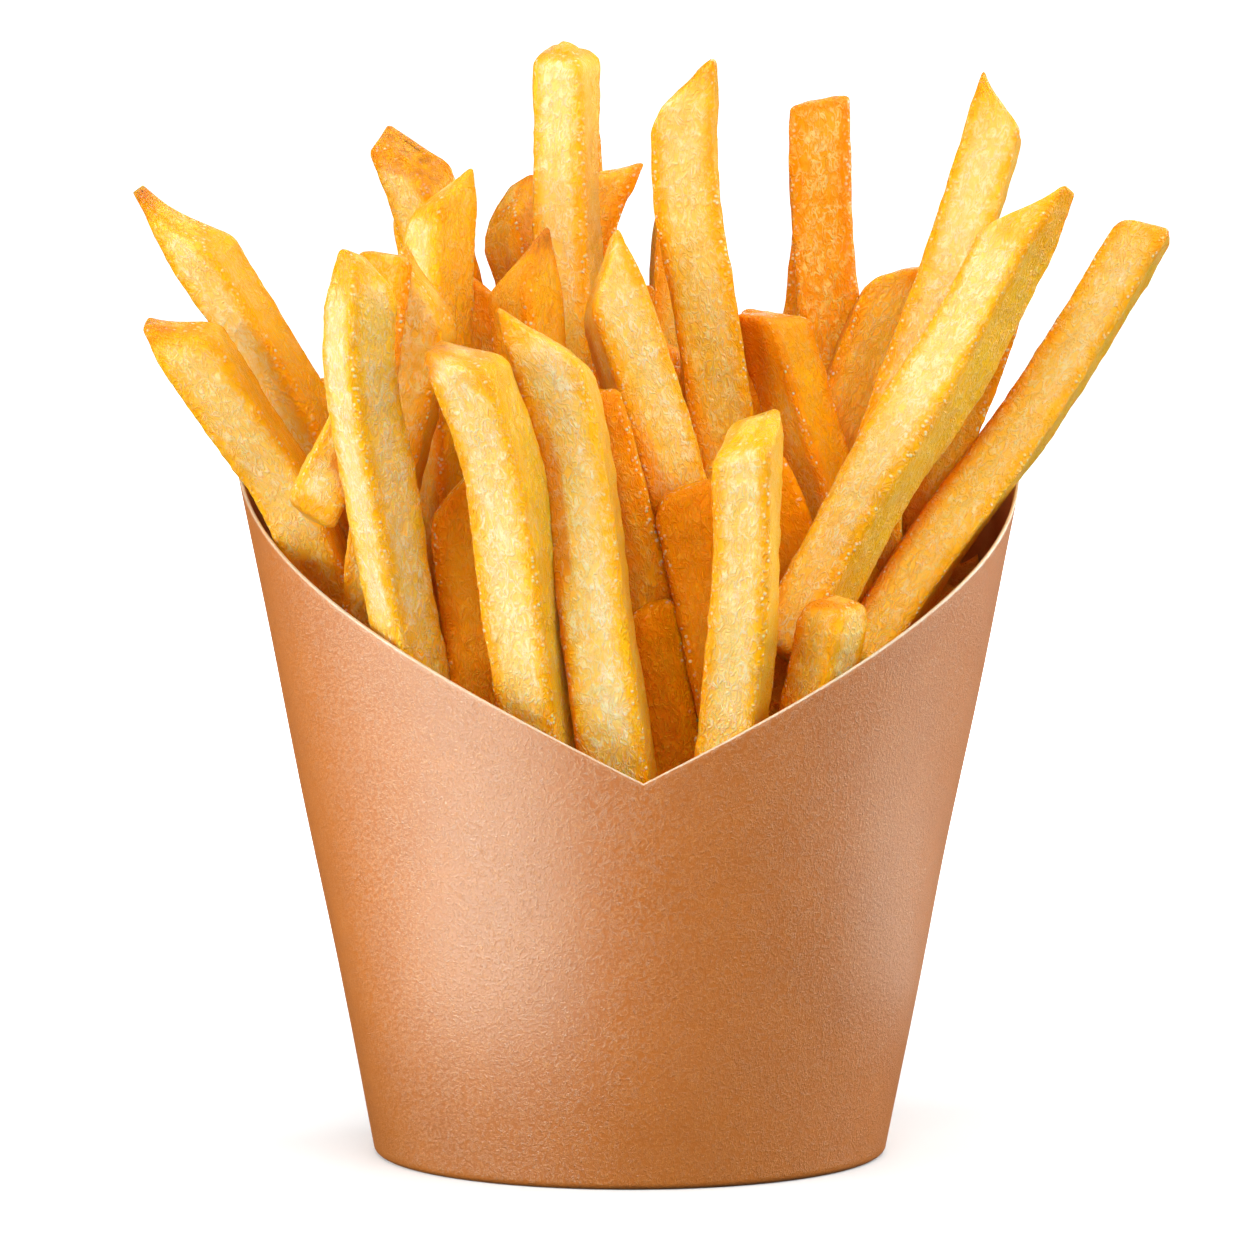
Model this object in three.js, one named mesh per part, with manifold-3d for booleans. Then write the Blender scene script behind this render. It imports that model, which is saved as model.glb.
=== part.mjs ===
// A paperboard scoop cup with a V cut in its front rim, heaped with thick-cut french fries.
// Millimetres, +Z up, the V faces -Y. Places are measured from the cup's axis at the table,
// and the finished group is moved so that its origin is under the middle of the whole.
import * as THREE from 'three';
import { mergeVertices } from 'three/addons/utils/BufferGeometryUtils.js';
import Module from 'manifold-3d';

// the cup: a cone of board, rolled under at the foot
const footRadius = 36;
const flarePerMm = 0.197;
const boardThick = 0.6;
const rimFront = 57.2;
const rimBack = 99.5;
const rimClimbPerDegree = 0.43;
const rimBlend = 1.6;
const vTurn = 2.2;
const columnStep = 5;

// the glued overlap at the back
const seamEdge = 187;
const seamWidth = 12;
const seamEase = 12;
const seamCut = 0.3;

// the rolled foot and the recessed base disc that it grips
const hemHeight = 6;
const slotWidth = 1.1;
const fit = 0.3;
const discThick = 0.5;
const discTop = 8.5;
const skirtFoot = 1;

// the solid heap that the fries stand in
const heapFoot = discTop + fit;
const heapFront = 50;
const heapMiddle = 85;
const heapColumns = 30;

// a fry: a square stick with its long edges rounded off
const edgeRound = 0.16;
const frySteps = 5;

const kraftBoard = new THREE.MeshStandardMaterial({ color: 0xd9a378, roughness: 0.8, metalness: 0 });
const plainBoard = new THREE.MeshStandardMaterial({ color: 0xcf9a70, roughness: 0.85, metalness: 0 });
const friedPotato = new THREE.MeshStandardMaterial({ color: 0xf0b84a, roughness: 0.5, metalness: 0 });

// Each fry runs through the places in at, tip first. wide and thick are its sides, roll turns it
// about its own length, and its tip is cut on a slant that is cut mm deep toward the side cutTo
// (0 right, 90 front, 180 left). cutBow over 1 hollows the slant, twist is extra roll at the foot.
const shownFries = [
  { at: [[-65.5, -8, 136.5], [-51, -7, 114], [-39.5, -8, 90], [-32, -9, 59]],
    wide: 6.6, thick: 7.6, roll: 29, cut: 14, cutTo: 0, cutBow: 0.85, flare: 1.15 },
  { at: [[-62.5, -21, 119.5], [-53.5, -18, 105], [-45.5, -15.5, 91], [-37, -16, 65]],
    wide: 8, thick: 8, roll: 12, cut: 6, cutTo: 0 },
  { at: [[-43.5, -34, 92], [-36, -34, 108], [-33, -34, 127.5]],
    wide: 7.2, thick: 6.5, roll: 0, cut: 1, cutTo: 0 },
  { at: [[-36, -47.5, 128.5], [-36.5, -43.5, 113], [-31, -35, 80], [-26, -27, 47]],
    wide: 6.7, thick: 7.9, roll: 50, cut: 4.5, cutTo: -40 },
  { at: [[-31, -24, 128.5], [-30, -24, 115], [-34, -23, 91], [-35, -21, 70]],
    wide: 8, thick: 7, roll: 14, cut: 9, cutTo: 10 },
  { at: [[-33, 3, 145], [-27.5, 6, 129], [-23, 10, 108], [-19, 9, 82]],
    wide: 7.6, thick: 6.8, roll: 40, cut: 10, cutTo: 15 },
  { at: [[-27, -7, 139], [-27, -10, 116.5], [-25.5, -13, 90], [-24, -16, 68]],
    wide: 7.5, thick: 7.7, roll: 45, cut: 9.3, cutTo: 120 },
  { at: [[-23.5, -46, 117.5], [-17.5, -43.5, 100], [-14, -40, 76], [-11, -35, 49.5]],
    wide: 8.7, thick: 8.5, roll: 23, cut: 6, cutTo: 0 },
  { at: [[-16, -35, 122], [-8.5, -37.5, 102.5], [-4, -39, 75], [0, -35, 47]],
    wide: 8.8, thick: 8.6, roll: 25, cut: 12, cutTo: 0, cutBow: 1.2 },
  { at: [[-14, -17, 131], [-13.5, -20, 110], [-11.5, -22, 85.5], [-9, -25, 50]],
    wide: 9.4, thick: 7.5, roll: 6, cut: 10, cutTo: 190, cutBow: 1.3 },
  { at: [[-25, 1, 129], [-21.5, 0, 111.5], [-18, -3, 80]],
    wide: 8.5, thick: 6, roll: 0, cut: 9, cutTo: 0 },
  { at: [[-9, 4, 157], [-8.5, 1, 125.5], [-6, -6, 102.5], [-2, -12, 64]],
    wide: 7.6, thick: 8, roll: 21, cut: 4, cutTo: 60 },
  { at: [[-18.5, 12, 136], [-13.5, 11, 121], [-9, 6, 104.5], [-5, 2, 82]],
    wide: 8, thick: 8, roll: 45, cut: 6.5, cutTo: 75 },
  { at: [[-2, 21, 140], [-6, 20, 130.5], [-7.5, 17, 113.5], [-9, 15, 82]],
    wide: 8, thick: 7, roll: 0, cut: 8, cutTo: 180 },
  { at: [[-5.5, -20, 129.5], [0, -20, 113], [6, -20, 93], [11, -15, 70]],
    wide: 8.7, thick: 8, roll: -20, cut: 12, cutTo: 190, cutBow: 1.3 },
  { at: [[0.5, 6, 122], [1, 5, 113], [5, 4, 82]],
    wide: 6, thick: 6, roll: 0, cut: 1, cutTo: 180 },
  { at: [[7, -12, 154], [7.5, -12, 136], [11, -12, 114.5], [15.5, -6, 84]],
    wide: 9.1, thick: 7.5, roll: 6, cut: 9.4, cutTo: 180, cutBow: 1.8, twist: -14 },
  { at: [[27, 16, 147.5], [27.5, 14, 126.5], [30.5, 9, 95.5], [32, 6, 78]],
    wide: 8.6, thick: 8, roll: 2, cut: 1.5, cutTo: 180 },
  { at: [[19, -9, 120], [24, -9, 104], [29, -11, 88], [32, -13, 74]],
    wide: 7.6, thick: 8, roll: 45, cut: 3.5, cutTo: -45 },
  { at: [[41, 7, 124.5], [34.5, 5, 114], [26, -1, 92], [22, -3, 78]],
    wide: 9, thick: 8.3, roll: 0, cut: 8, cutTo: 180, cutBow: 1.5 },
  { at: [[53.5, 4, 150], [44.5, -2, 123.5], [34.5, -10.5, 97], [35, -8, 80]],
    wide: 8, thick: 8, roll: 5, cut: 6, cutTo: 0 },
  { at: [[56.5, -14, 137.5], [45, -17.5, 114], [32.5, -23, 93.5], [21, -27, 72.5]],
    wide: 8, thick: 8.5, roll: 25, cut: 12, cutTo: 180, cutBow: 1.3 },
  { at: [[73, 8, 130], [60.5, 2.5, 110], [45.5, -8, 90.5], [30.5, -21, 70]],
    wide: 7.2, thick: 8, roll: 12, cut: 3, cutTo: 180 },
  { at: [[16, -44, 108], [15.5, -41.5, 80], [11.5, -33, 44]],
    wide: 8.1, thick: 8.5, roll: 16, cut: 7.5, cutTo: 120 },
  { at: [[28, -37, 81.5], [25.5, -35.5, 69], [22, -31, 53.5]],
    wide: 7.4, thick: 7, roll: 37, cut: 1, cutTo: 90 },
  { at: [[7, -29.5, 96.5], [10.5, -29.5, 80.5], [15, -29.5, 58]],
    wide: 9, thick: 7, roll: 0, cut: 1, cutTo: 180 },
  { at: [[2, -30, 80.5], [4, -29, 72], [7, -27, 54]],
    wide: 8, thick: 5, roll: 0, cut: 1, cutTo: 180 },
  { at: [[-23.5, -29, 100.5], [-22, -29, 82], [-18, -30, 56]],
    wide: 9, thick: 8, roll: 0, cut: 9, cutTo: 180, cutBow: 1.2 },
  { at: [[-5.5, -29, 109], [-1.5, -29, 93], [1.5, -28, 81.5], [2, -24, 64]],
    wide: 8.3, thick: 5.2, roll: 0, cut: 1, cutTo: 180 },
  { at: [[6, -19, 87], [3, -20, 77], [-1, -22, 62]],
    wide: 8, thick: 6, roll: 0, cut: 4, cutTo: 180 },
  { at: [[17, -18.5, 99], [20.5, -18, 91], [27, -18, 72]],
    wide: 8.5, thick: 5, roll: 0, cut: 1, cutTo: 180 },
  { at: [[6.5, -4, 111.5], [7.5, -5, 103.5], [7, -5, 84]],
    wide: 6, thick: 6.5, roll: 0, cut: 1, cutTo: 0 },
  { at: [[50.5, 3, 120], [43.5, 2, 100.5], [37, 0, 78]],
    wide: 8.2, thick: 6.5, roll: 0, cut: 1, cutTo: 180 },
];

// The fries at the back and in the middle stand in rings: angle is measured from the front toward
// +X, radius is the distance from the axis at rowHeight, out and round are the lean per mm of height.
const rowHeight = 92;
const ringFries = [
  { angle: 118, radius: 45, top: 118, out: 0.45, round: 0.05, wide: 8.6, thick: 8.4, roll: 20 },
  { angle: 136, radius: 46, top: 119, out: 0.4, round: -0.06, wide: 9, thick: 8.2, roll: 50 },
  { angle: 156, radius: 46, top: 117, out: 0.35, round: 0.04, wide: 8.4, thick: 8.8, roll: 10 },
  { angle: 173, radius: 46, top: 132, out: 0.38, round: -0.02, wide: 8.4, thick: 8.4, roll: 0 },
  { angle: 190, radius: 47, top: 135, out: 0.3, round: 0.05, wide: 9.2, thick: 8.6, roll: 70 },
  { angle: 207, radius: 46, top: 128, out: 0.42, round: 0.05, wide: 8.6, thick: 8.2, roll: 15 },
  { angle: 224, radius: 46, top: 121, out: 0.45, round: -0.04, wide: 9, thick: 8.4, roll: 40 },
  { angle: 242, radius: 44, top: 108, out: 0.55, round: 0.02, wide: 8.8, thick: 8.2, roll: 60 },
  { angle: 262, radius: 45, top: 113, out: 0.5, round: 0.02, wide: 8.4, thick: 8.4, roll: 25 },
  { angle: 101, radius: 45, top: 101, out: 0.5, round: 0, wide: 8.4, thick: 8.2, roll: 5 },
  { angle: 132, radius: 31, top: 134, out: 0.2, round: 0.03, wide: 8.4, thick: 8.2, roll: 0 },
  { angle: 155, radius: 32, top: 116, out: 0.18, round: -0.02, wide: 8.8, thick: 8.8, roll: 75 },
  { angle: 175, radius: 33, top: 114, out: 0.22, round: 0, wide: 8.4, thick: 8.2, roll: 5 },
  { angle: 192, radius: 32, top: 146, out: 0.2, round: -0.01, wide: 8, thick: 8, roll: 0 },
  { angle: 219, radius: 33, top: 134, out: 0.3, round: 0.03, wide: 8.8, thick: 8.2, roll: 20 },
  { angle: 245, radius: 31, top: 122, out: 0.35, round: 0.03, wide: 8.2, thick: 8.2, roll: 0 },
  { angle: 128, radius: 15, top: 106, out: 0.15, round: 0.1, wide: 8.4, thick: 8, roll: 30 },
  { angle: 144, radius: 22, top: 101, out: 0.1, round: -0.1, wide: 8.2, thick: 8.4, roll: 60 },
  { angle: 176, radius: 15, top: 105, out: 0.12, round: 0.05, wide: 8, thick: 8, roll: 15 },
  { angle: 270, radius: 34, top: 104, out: 0.3, round: -0.1, wide: 8, thick: 8.4, roll: 35 },
];
const ringFoot = 70;

const wasm = await Module();
wasm.setup();

function coneRadius(height) {
  return footRadius + flarePerMm * height;
}

// Rim height: two straight climbs from the V that level off smoothly at the back.
function rimHeight(degrees) {
  const fromV = Math.abs(THREE.MathUtils.euclideanModulo(degrees - vTurn + 180, 360) - 180);
  const climb = Math.exp(-(rimFront + rimClimbPerDegree * fromV) / rimBlend);
  const level = Math.exp(-rimBack / rimBlend);
  return -rimBlend * Math.log(climb + level);
}

// How far the outer layer of board stands proud where it laps over the inner one.
function seamRise(degrees) {
  const before = seamEdge - degrees;
  if (before < 0) {
    return 0;
  }
  return boardThick * (1 - THREE.MathUtils.smoothstep(before, seamWidth, seamWidth + seamEase));
}

function pointAt(degrees, radius, height) {
  const angle = THREE.MathUtils.degToRad(degrees);
  return new THREE.Vector3(radius * Math.sin(angle), -radius * Math.cos(angle), height);
}

// The board's columns: an even spread from the V, and two close together at the seam's cut edge.
function boardColumns() {
  const columns = [];
  for (let turn = vTurn; turn < 360; turn += columnStep) {
    columns.push(turn);
  }
  columns.push(seamEdge - seamCut, seamEdge + seamCut);
  return columns.sort((one, other) => one - other);
}

// A closed profile is turned round the axis; place says where a profile point goes at an angle.
function turnedSolid(profile, columns, place) {
  const outline = [...profile, profile[0]].map(([offset, level]) => new THREE.Vector2(offset, level));
  const geometry = new THREE.LatheGeometry(outline, columns.length);
  const position = geometry.attributes.position;
  const rows = outline.length;
  for (let index = 0; index < position.count; index += 1) {
    const column = Math.floor(index / rows) % columns.length;
    const { x: offset, y: level } = outline[index % rows];
    const spot = place(columns[column], offset, level);
    position.setXYZ(index, spot.x, spot.y, spot.z);
  }
  return toManifold(geometry);
}

function toManifold(geometry) {
  const bare = new THREE.BufferGeometry();
  bare.setAttribute('position', geometry.attributes.position.clone());
  if (geometry.index) {
    bare.setIndex(geometry.index.clone());
  }
  const merged = mergeVertices(bare, 1e-4);
  const corners = [];
  for (let face = 0; face < merged.index.count; face += 3) {
    const [a, b, c] = [0, 1, 2].map((step) => merged.index.getX(face + step));
    if (a !== b && b !== c && c !== a) {
      corners.push(a, b, c);
    }
  }
  const build = (order) => new wasm.Manifold(new wasm.Mesh({
    numProp: 3,
    vertProperties: new Float32Array(merged.attributes.position.array),
    triVerts: new Uint32Array(order),
  }));
  const solid = build(corners);
  if (solid.volume() > 0) {
    return solid;
  }
  const flipped = [];
  for (let face = 0; face < corners.length; face += 3) {
    flipped.push(corners[face], corners[face + 2], corners[face + 1]);
  }
  return build(flipped);
}

function toMesh(solid, name, material) {
  const mesh = solid.getMesh();
  const geometry = new THREE.BufferGeometry();
  const stride = mesh.numProp;
  const places = new Float32Array((mesh.vertProperties.length / stride) * 3);
  for (let index = 0; index < places.length / 3; index += 1) {
    for (let axis = 0; axis < 3; axis += 1) {
      places[index * 3 + axis] = mesh.vertProperties[index * stride + axis];
    }
  }
  geometry.setAttribute('position', new THREE.BufferAttribute(places, 3));
  geometry.setIndex(new THREE.BufferAttribute(new Uint32Array(mesh.triVerts), 1));
  geometry.computeVertexNormals();
  const piece = new THREE.Mesh(geometry, material);
  piece.name = name;
  return piece;
}

// The wall's section, outside then inside: level 0 to 1 runs from the slot up to the rim.
// grow thickens it on every side, for the room that the heap leaves.
function wallSolid(grow) {
  const slotOuter = boardThick;
  const hemOuter = boardThick + slotWidth;
  const hemInner = hemOuter + boardThick;
  const profile = grow === 0
    ? [[0, -1], [0, 1], [boardThick, 1], [slotOuter, 0], [hemOuter, 0],
      [hemOuter, 2], [hemInner, 2], [hemInner, -1]]
    : [[-boardThick, -1], [-boardThick, 1], [boardThick, 1], [boardThick, -1]];
  return turnedSolid(profile, boardColumns(), (degrees, inward, level) => {
    const rise = inward <= 0 ? seamRise(degrees) : 0;
    const heights = { '-1': -grow, 0: boardThick, 1: rimHeight(degrees) + grow, 2: hemHeight };
    const height = heights[level];
    const side = inward <= 0 ? grow : -grow;
    return pointAt(degrees, coneRadius(height) - inward + side + rise, height);
  });
}

// The base disc with its skirt turned down into the slot of the rolled foot.
function baseSolid() {
  const skirtOuter = boardThick + fit;
  const skirtInner = skirtOuter + discThick;
  const discUnder = discTop - discThick;
  const profile = [
    [null, discUnder], [skirtInner, discUnder], [skirtInner, skirtFoot],
    [skirtOuter, skirtFoot], [skirtOuter, discTop], [null, discTop],
  ];
  const outline = profile.map(([inward, height]) => {
    const radius = inward === null ? 0 : coneRadius(height) - inward;
    return new THREE.Vector2(radius, height);
  });
  const geometry = new THREE.LatheGeometry(outline, 360 / columnStep);
  geometry.rotateX(Math.PI / 2);
  return toManifold(geometry);
}

// The heap's own height: low behind the V, higher in the middle and at the back, and uneven.
function heapHeight(x, y) {
  const back = THREE.MathUtils.smoothstep(y, -34, 4);
  const uneven = 1.6 * Math.sin(x * 0.31 + y * 0.17) + 1.4 * Math.cos(y * 0.29 - x * 0.13);
  return THREE.MathUtils.lerp(heapFront, heapMiddle, back) + uneven;
}

function heapSolid() {
  const inward = boardThick + fit;
  const outline = [
    new THREE.Vector2(0, 0), new THREE.Vector2(1, 0), new THREE.Vector2(1, 1),
    new THREE.Vector2(0.75, 1), new THREE.Vector2(0.5, 1), new THREE.Vector2(0.25, 1),
    new THREE.Vector2(0, 1),
  ];
  const geometry = new THREE.LatheGeometry(outline, heapColumns);
  const position = geometry.attributes.position;
  for (let index = 0; index < position.count; index += 1) {
    const share = Math.hypot(position.getX(index), position.getZ(index));
    const degrees = THREE.MathUtils.radToDeg(Math.atan2(position.getX(index), position.getZ(index)));
    const level = position.getY(index);
    const guess = pointAt(degrees, share * (coneRadius(heapMiddle) - inward), 0);
    const height = level === 0 ? heapFoot : heapHeight(guess.x, guess.y);
    const spot = pointAt(degrees, share * (coneRadius(height) - inward), height);
    position.setXYZ(index, spot.x, spot.y, spot.z);
  }
  return toManifold(geometry);
}

function ringPath({ angle, radius, top, out, round }) {
  const along = (height) => {
    const rise = height - rowHeight;
    const middle = pointAt(angle, radius + out * rise, height);
    return middle.add(pointAt(angle + 90, round * rise, 0)).toArray();
  };
  return [along(top), along((top + ringFoot) / 2), along(ringFoot)];
}

function frySolid(fry) {
  const { wide, thick, roll, cut = 3, cutTo = 40, cutBow = 1, twist = 0, flare = 1 } = fry;
  const corner = 0.5 - edgeRound;
  const section = new THREE.Shape([
    [corner, 0.5], [-corner, 0.5], [-0.5, corner], [-0.5, -corner],
    [-corner, -0.5], [corner, -0.5], [0.5, -corner], [0.5, corner],
  ].map(([x, y]) => new THREE.Vector2(x, y)));
  const places = (fry.at ?? ringPath(fry)).map((place) => new THREE.Vector3(...place));
  const path = new THREE.CatmullRomCurve3(places, false, 'catmullrom', 0.5);
  const length = path.getLength();
  const geometry = new THREE.ExtrudeGeometry(section, { depth: 1, steps: frySteps, bevelEnabled: false });
  const position = geometry.attributes.position;
  const slant = THREE.MathUtils.degToRad(cutTo);
  const slantReach = Math.abs(Math.cos(slant)) + Math.abs(Math.sin(slant));
  for (let index = 0; index < position.count; index += 1) {
    const [x, y, share] = [position.getX(index), position.getY(index), position.getZ(index)];
    const side = 0.5 + (x * Math.cos(slant) + y * Math.sin(slant)) / slantReach;
    const drop = cut * THREE.MathUtils.clamp(side, 0, 1) ** cutBow;
    const along = THREE.MathUtils.clamp((drop + (length - drop) * share) / length, 0, 1);
    const toTip = path.getTangentAt(along).negate();
    const front = new THREE.Vector3(0, -1, 0).addScaledVector(toTip, toTip.y).normalize();
    const right = toTip.clone().cross(front);
    const turn = THREE.MathUtils.degToRad(roll + twist * share);
    front.applyAxisAngle(toTip, turn);
    right.applyAxisAngle(toTip, turn);
    const swell = 1 + (flare - 1) * share;
    const spot = path.getPointAt(along)
      .addScaledVector(right, x * wide * swell)
      .addScaledVector(front, y * thick * swell);
    position.setXYZ(index, spot.x, spot.y, spot.z);
  }
  return toManifold(geometry);
}

function friesSolid() {
  let heap = heapSolid();
  for (const fry of [...shownFries, ...ringFries]) {
    heap = heap.add(frySolid(fry));
  }
  return heap.subtract(wallSolid(fit));
}

const frenchFries = new THREE.Group();
frenchFries.add(toMesh(wallSolid(0), 'cup_wall', kraftBoard));
frenchFries.add(toMesh(baseSolid(), 'cup_base', plainBoard));
frenchFries.add(toMesh(friesSolid(), 'fries', friedPotato));

// the fries lean out further on one side, so the cup's axis stands a little off the whole's middle
const middle = new THREE.Box3().setFromObject(frenchFries).getCenter(new THREE.Vector3());
frenchFries.position.set(-middle.x, -middle.y, 0);

export default frenchFries;
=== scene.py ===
from math import radians
import bpy
import numpy as np
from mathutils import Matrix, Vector
from mathutils.bvhtree import BVHTree


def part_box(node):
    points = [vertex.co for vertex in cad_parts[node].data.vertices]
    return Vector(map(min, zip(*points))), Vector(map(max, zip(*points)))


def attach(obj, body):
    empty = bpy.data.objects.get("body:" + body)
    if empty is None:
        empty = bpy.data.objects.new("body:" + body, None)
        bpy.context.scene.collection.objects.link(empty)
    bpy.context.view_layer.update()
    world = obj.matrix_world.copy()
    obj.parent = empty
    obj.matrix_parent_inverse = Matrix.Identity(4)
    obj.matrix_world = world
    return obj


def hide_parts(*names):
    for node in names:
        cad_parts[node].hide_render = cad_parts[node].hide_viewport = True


print("frame")
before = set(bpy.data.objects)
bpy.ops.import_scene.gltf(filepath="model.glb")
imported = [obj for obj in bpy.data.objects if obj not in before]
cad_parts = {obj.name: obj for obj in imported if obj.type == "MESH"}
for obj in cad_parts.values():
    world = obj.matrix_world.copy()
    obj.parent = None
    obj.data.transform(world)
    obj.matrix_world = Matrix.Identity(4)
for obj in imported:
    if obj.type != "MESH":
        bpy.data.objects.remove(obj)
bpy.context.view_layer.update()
mm = 0.001
baseLow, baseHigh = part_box("cup_base")
axisX = (baseLow.x + baseHigh.x) / 2     # the cup's axis, from the CAD base disc
axisY = (baseLow.y + baseHigh.y) / 2

# the cup is a cone of board, in mm, with angles in degrees round it from the front: the rim climbs
# from its V at turn, climb mm a degree, and eases over blend mm into the level back; the board
# laps itself at the seam, and the foot is folded up inside as a hem with a slot for the base; the
# wall wavers by wander mm in swells wanderSize mm wide, and has a point every step degrees
cup = dict(footRadius=36.0, flare=0.197, board=0.6, rimFront=57.2, rimBack=99.5,
           climb=0.43, blend=1.6, turn=2.2, seam=187.0, lap=12.0, ease=12.0,
           hem=6.0, slot=1.1, fold=0.9, wander=0.16, wanderSize=26, step=1.25)


def coneRadius(height):
    return cup["footRadius"] + cup["flare"] * height


def rimHeight(degrees):
    fromV = np.abs((degrees - cup["turn"] + 180) % 360 - 180)
    climb = np.exp(-(cup["rimFront"] + cup["climb"] * fromV) / cup["blend"])
    return -cup["blend"] * np.log(climb + np.exp(-cup["rimBack"] / cup["blend"]))


def onCone(degrees, radius, height):
    angle = np.radians(degrees)
    return np.stack([radius * np.sin(angle), -radius * np.cos(angle), height + 0 * angle], -1)


def toLinear(hexColour):
    parts = [int(hexColour[i:i + 2], 16) / 255 for i in (1, 3, 5)]
    return [p / 12.92 if p <= 0.04045 else ((p + 0.055) / 1.055) ** 2.4 for p in parts] + [1.0]


def addNode(tree, kind, settings=None, links=None):
    # settings are options or socket values, links join another node's socket (or its first output);
    # a number is a socket's place: 1 to 4 of a map range are its from and to ends, and 0, 6 and 7 of
    # a colour mix are the share and the two colours
    node = tree.nodes.new(kind)
    for name, value in (settings or {}).items():
        if isinstance(name, int) or name in node.inputs:
            node.inputs[name].default_value = value
        else:
            setattr(node, name, value)
    for name, source in (links or {}).items():
        socket = source if isinstance(source, bpy.types.NodeSocket) else source.outputs[0]
        tree.links.new(socket, node.inputs[name])
    return node


def smoothStep(value, low, high):
    share = np.clip((value - low) / (high - low), 0, 1)
    return share * share * (3 - 2 * share)


def ripple(places, size, seed):
    # smooth random swell between about -1 and 1, size is the width of one lump in mm
    waves, halfWave, wholeWave, usualPeak = 7, 3.1, 6.3, 2.6
    rng = np.random.default_rng(seed)
    total = np.zeros(len(places))
    for wave in range(waves):
        way = rng.normal(size=3)
        way *= rng.uniform(0.7, 1.5) / np.linalg.norm(way)
        total += np.sin(places @ way * (halfWave / size) + rng.uniform(0, wholeWave))
    return total / usualPeak


def ringFaces(rings, spokes):
    # quads between each ring of points and the next
    faces = []
    for ring in range(rings - 1):
        for k in range(spokes):
            a, b = ring * spokes + k, ring * spokes + (k + 1) % spokes
            faces.append((a, b, b + spokes, a + spokes))
    return faces


def joined(parts):
    points, faces, start = [], [], 0
    for part in parts:
        faces += [tuple(start + k for k in face) for face in part["faces"]]
        points.append(part["points"])
        start += len(part["points"])
    return np.vstack(points), faces


def meshPiece(name, points, faces, marks, material):
    mesh = bpy.data.meshes.new(name)
    mesh.from_pydata((points * mm + (axisX, axisY, 0)).tolist(), [], faces)
    for mark, values in marks.items():
        if values.ndim == 2:
            layer = mesh.attributes.new(mark, "FLOAT_VECTOR", "POINT")
            layer.data.foreach_set("vector", values.astype(np.float32).ravel())
        else:
            layer = mesh.attributes.new(mark, "FLOAT", "POINT")
            layer.data.foreach_set("value", values.astype(np.float32))
    mesh.polygons.foreach_set("use_smooth", [True] * len(mesh.polygons))
    mesh.materials.append(material)
    mesh.update()
    piece = bpy.data.objects.new(name, mesh)
    bpy.context.scene.collection.objects.link(piece)
    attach(piece, "root")
    print("  ", name, len(points), "points")
    return piece


# Each fry runs through the places in at, tip first, in mm from the cup's axis at the table. wide
# and thick are its sides, roll and twist turn it about its length, flare widens its lower end.
# The tip is cut on a slant, cut mm deep toward the side cutTo (0 right, 90 front, 180 left), and cutBow
# over 1 bulges it; the last taper mm narrow to the share point, blunt rounds the edge of the cut and
# dome its middle, and hollow sinks the faces. tone (farTone lower down) is 0, barely coloured, to 1,
# amber. fleck is how much white starch shows; pale is how pale each side is (right, front, left, back),
# partly floury starch and partly painted shade that keeps a side turned from the lamps golden; capPale
# is the cut's; gold mm at the tip have lost it. The last scorch mm are browned by brown, the cut by
# capBrown. plainFry is what a fry is where its own line is silent.
plainFry = dict(roll=0, twist=0, flare=1, cut=3, cutTo=40, cutBow=1, point=0.8, taper=5, blunt=1.4,
                dome=0.35, hollow=0.14, pale=(0.05, 1.0, 0.75, 0.7), capPale=0.35, gold=20,
                scorch=3.5, brown=0.15, capBrown=0)
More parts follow.
